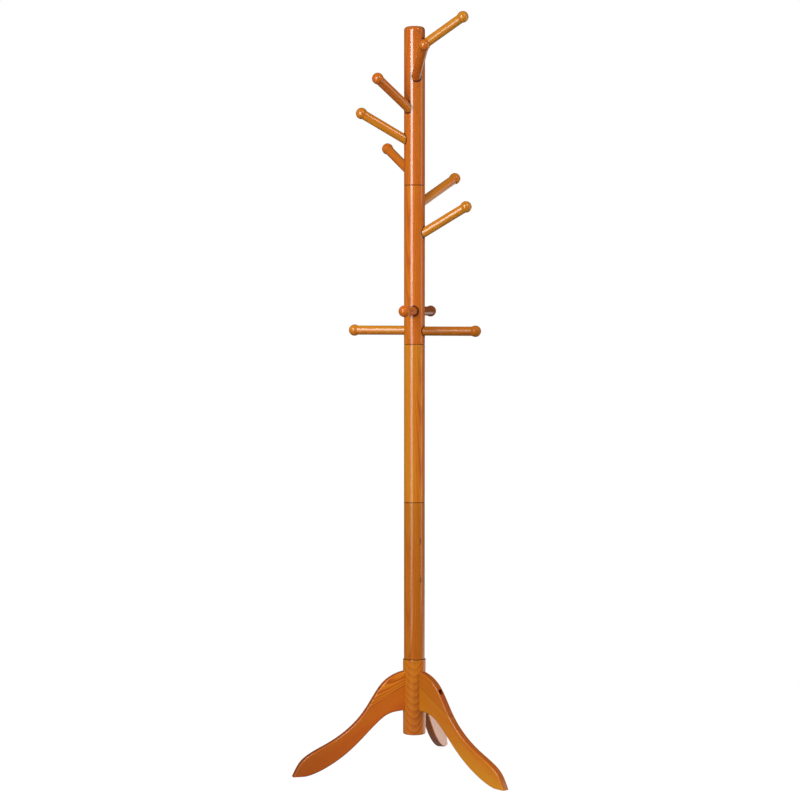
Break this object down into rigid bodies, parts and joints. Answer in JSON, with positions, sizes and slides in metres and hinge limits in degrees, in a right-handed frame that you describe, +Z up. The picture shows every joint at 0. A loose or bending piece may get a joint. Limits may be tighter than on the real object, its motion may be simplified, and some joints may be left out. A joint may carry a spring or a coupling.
{
  "type": "standing coat rack",
  "caption": "Free-standing wooden coat rack: a round post screwed together from four sections on a thicker hub, splayed S-curved board legs, and ball-ended pegs winding down the post.",
  "frame": {"origin": "the point on the floor straight under the axis of the post", "axes": "+Z up along the post, +X to the right and +Y away from someone standing in front of the rack"},
  "size_m": [0.4836, 0.485, 1.7222],
  "materials": {
    "post_wood": "gloss honey-orange lacquer over straight grain",
    "hub_wood": "gloss honey-orange lacquer over arched grain",
    "leg_wood": "gloss honey-orange lacquer over edge-glued boards",
    "peg_wood": "gloss honey-orange lacquer",
    "dowel_wood": "raw beech, unfinished",
    "zinc_steel": "bright zinc plate",
    "brass": "plain machined brass"
  },
  "bodies": {
    "base": {"hub": "hub_wood", "hub_upper_insert": "brass", "leg_left": "leg_wood", "leg_front": "leg_wood", "leg_back": "leg_wood", "leg_bolt_left": "zinc_steel", "leg_washer_left": "zinc_steel", "leg_insert_left": "brass", "leg_dowel_left": "dowel_wood", "leg_bolt_front": "zinc_steel", "leg_washer_front": "zinc_steel", "leg_insert_front": "brass", "leg_dowel_front": "dowel_wood", "leg_bolt_back": "zinc_steel", "leg_washer_back": "zinc_steel", "leg_insert_back": "brass", "leg_dowel_back": "dowel_wood"},
    "stud_1": {"seam_stud_1": "zinc_steel"},
    "section_1": {"post_section_1": "post_wood", "section_1_lower_insert": "brass", "section_1_upper_insert": "brass"},
    "stud_2": {"seam_stud_2": "zinc_steel"},
    "section_2": {"post_section_2": "post_wood", "section_2_lower_insert": "brass", "section_2_upper_insert": "brass"},
    "stud_3": {"seam_stud_3": "zinc_steel"},
    "section_3": {"post_section_3": "post_wood", "section_3_lower_insert": "brass", "section_3_upper_insert": "brass", "peg_6": "peg_wood", "peg_6_bolt": "zinc_steel", "peg_7": "peg_wood", "peg_7_bolt": "zinc_steel", "level_peg_front": "peg_wood", "level_peg_front_bolt": "zinc_steel", "level_peg_back": "peg_wood", "level_peg_back_bolt": "zinc_steel", "level_peg_left": "peg_wood", "level_peg_left_bolt": "zinc_steel", "level_peg_right": "peg_wood", "level_peg_right_bolt": "zinc_steel"},
    "stud_4": {"seam_stud_4": "zinc_steel"},
    "section_4": {"post_section_4": "post_wood", "section_4_lower_insert": "brass", "peg_1": "peg_wood", "peg_1_bolt": "zinc_steel", "peg_2": "peg_wood", "peg_2_bolt": "zinc_steel", "peg_3": "peg_wood", "peg_3_bolt": "zinc_steel", "peg_4": "peg_wood", "peg_4_bolt": "zinc_steel", "peg_5": "peg_wood", "peg_5_bolt": "zinc_steel"}
  },
  "joints": [
    {"name": "turn_section_1", "type": "hinge", "parent": "base", "child": "stud_1", "pos_m": [0, 0, 0.257], "axis": [0, 0, 1], "range_deg": [0, 3600]},
    {"name": "rise_section_1", "type": "slide", "parent": "stud_1", "child": "section_1", "axis": [0, 0, 1], "range_m": [0, 0.0125]},
    {"name": "turn_section_2", "type": "hinge", "parent": "section_1", "child": "stud_2", "pos_m": [0, 0, 0.617], "axis": [0, 0, 1], "range_deg": [0, 3600]},
    {"name": "rise_section_2", "type": "slide", "parent": "stud_2", "child": "section_2", "axis": [0, 0, 1], "range_m": [0, 0.0125]},
    {"name": "turn_section_3", "type": "hinge", "parent": "section_2", "child": "stud_3", "pos_m": [0, 0, 0.977], "axis": [0, 0, 1], "range_deg": [0, 3600]},
    {"name": "rise_section_3", "type": "slide", "parent": "stud_3", "child": "section_3", "axis": [0, 0, 1], "range_m": [0, 0.0125]},
    {"name": "turn_section_4", "type": "hinge", "parent": "section_3", "child": "stud_4", "pos_m": [0, 0, 1.337], "axis": [0, 0, 1], "range_deg": [0, 3600]},
    {"name": "rise_section_4", "type": "slide", "parent": "stud_4", "child": "section_4", "axis": [0, 0, 1], "range_m": [0, 0.0125]}
  ],
  "couplings": [
    {"joint": "rise_section_1", "follows": "turn_section_1", "m_per_rad": 0.00019894},
    {"joint": "rise_section_2", "follows": "turn_section_2", "m_per_rad": 0.00019894},
    {"joint": "rise_section_3", "follows": "turn_section_3", "m_per_rad": 0.00019894},
    {"joint": "rise_section_4", "follows": "turn_section_4", "m_per_rad": 0.00019894}
  ]
}
